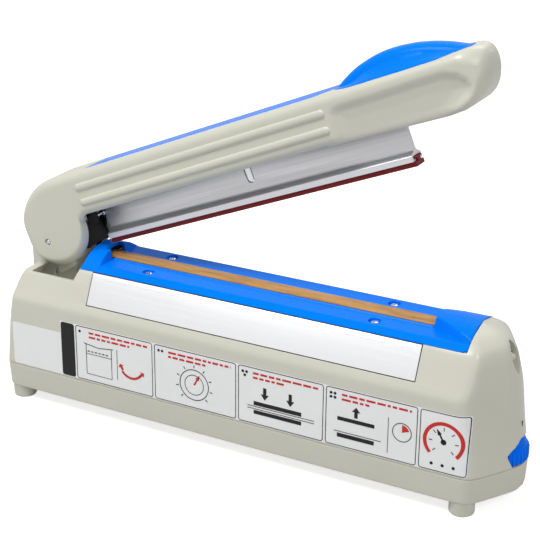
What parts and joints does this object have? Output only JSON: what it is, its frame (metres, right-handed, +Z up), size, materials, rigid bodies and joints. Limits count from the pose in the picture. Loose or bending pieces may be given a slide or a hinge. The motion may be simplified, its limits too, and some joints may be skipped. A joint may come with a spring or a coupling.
{
  "type": "bag sealer",
  "caption": "Hand impulse bag sealer: hollow base with a heated sealing strip under a sprung hinged arm, rocking pressure bar, switch lever and thumb dial for the timer.",
  "frame": {"origin": "centre of the overall box in plan, at the floor that the feet stand on", "axes": "+X from the hinge end to the nose with the dial, +Y away from the near side, +Z up"},
  "size_m": [0.3262, 0.072, 0.2498],
  "materials": {
    "beige_plastic": "fine satin grain",
    "beige_pan": "fine satin grain",
    "blue_plastic": "glossy",
    "brushed_aluminium": "drawn lengthwise",
    "bright_steel": "bright",
    "black_steel": "black",
    "dark_plastic": "matt",
    "brass": "bright",
    "brown_tape": "coated glass cloth",
    "insulating_bed": "matt",
    "red_silicone": "matt",
    "red_lens": "clear red",
    "transformer_steel": "varnished laminations",
    "coil_tape": "wrapped tape",
    "circuit_board": "lacquered"
  },
  "bodies": {
    "base": {"base_housing": "beige_plastic", "bottom_pan": "beige_pan", "top_cover": "blue_plastic", "side_panel_near": "brushed_aluminium", "side_panel_far": "brushed_aluminium", "element_bed": "insulating_bed", "heating_wire": "bright_steel", "sealing_strip": "brown_tape", "terminal_rear": "brass", "terminal_front": "brass", "terminal_screw_rear": "bright_steel", "terminal_screw_front": "bright_steel", "transformer_core": "transformer_steel", "transformer_coil": "coil_tape", "timer_board": "circuit_board", "potentiometer": "dark_plastic", "microswitch": "dark_plastic", "lamp_lens": "red_lens", "lamp_holder": "dark_plastic", "hinge_pin": "bright_steel", "hinge_screw_near": "black_steel", "hinge_screw_far": "black_steel", "inlet_gland": "dark_plastic", "return_spring": "bright_steel", "spring_pin_base": "bright_steel", "cover_screw_1": "bright_steel", "pan_screw_1": "bright_steel", "cover_screw_2": "bright_steel", "pan_screw_2": "bright_steel", "cover_screw_3": "bright_steel", "pan_screw_3": "bright_steel", "cover_screw_4": "bright_steel", "pan_screw_4": "bright_steel"},
    "arm": {"arm_shell": "beige_plastic", "arm_frame": "black_steel", "bar_guide": "bright_steel", "top_inlay": "blue_plastic", "grip_insert": "blue_plastic", "spring_pin_arm": "bright_steel"},
    "bar": {"pressure_bar": "brushed_aluminium", "silicone_strip": "red_silicone"},
    "lever": {"switch_lever": "bright_steel"},
    "dial": {"timer_dial": "blue_plastic", "dial_shaft": "bright_steel"}
  },
  "joints": [
    {"name": "arm_hinge", "type": "hinge", "parent": "base", "child": "arm", "pos_m": [-0.13765, 0, 0.1005], "axis": [0, 1, 0], "range_deg": [0, 19.22], "stiffness_Nm_per_rad": 2, "springref_deg": -22.92, "deforming": ["return_spring"]},
    {"name": "bar_rock", "type": "hinge", "parent": "arm", "child": "bar", "pos_m": [-0.00582, 0, 0.15722], "axis": [0, 1, 0], "range_deg": [0, 2.64]},
    {"name": "lever_tilt", "type": "hinge", "parent": "base", "child": "lever", "pos_m": [-0.13575, 0, 0.0603], "axis": [0, -1, 0], "range_deg": [0, 15.1]},
    {"name": "dial_turn", "type": "hinge", "parent": "base", "child": "dial", "pos_m": [0.1467, 0, 0.0243], "axis": [0, 0, 1], "range_deg": [-135, 135]}
  ],
  "couplings": [
    {"joint": "bar_rock", "follows": "arm_hinge", "ratio": 0.13632},
    {"joint": "lever_tilt", "follows": "arm_hinge", "ratio": 0.78044}
  ]
}
